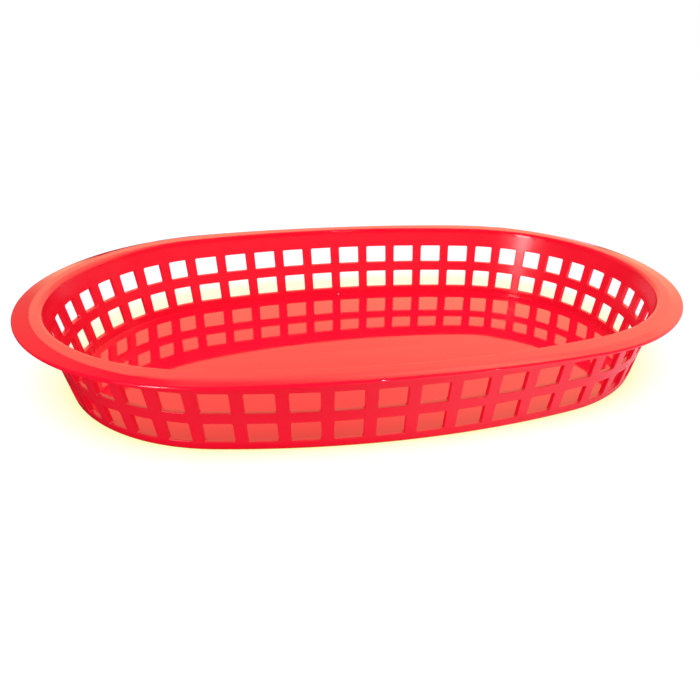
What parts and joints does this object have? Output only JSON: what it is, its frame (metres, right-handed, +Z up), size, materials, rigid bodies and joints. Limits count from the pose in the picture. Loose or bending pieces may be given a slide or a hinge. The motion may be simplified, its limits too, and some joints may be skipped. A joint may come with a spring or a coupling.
{
  "type": "fast food basket",
  "caption": "Oval open serving basket moulded in red plastic, with windowed walls, a flat floor and a flat rim that widens into end handles.",
  "frame": {"origin": "middle of the flat underside, in the plane that the basket rests on", "axes": "+X along the length, from end handle to end handle; +Y across the width; +Z up through the open mouth"},
  "size_m": [0.267, 0.1704, 0.033],
  "materials": {
    "red_plastic": "glossy moulded polypropylene"
  },
  "bodies": {
    "root": {"basket": "red_plastic"}
  },
  "joints": []
}
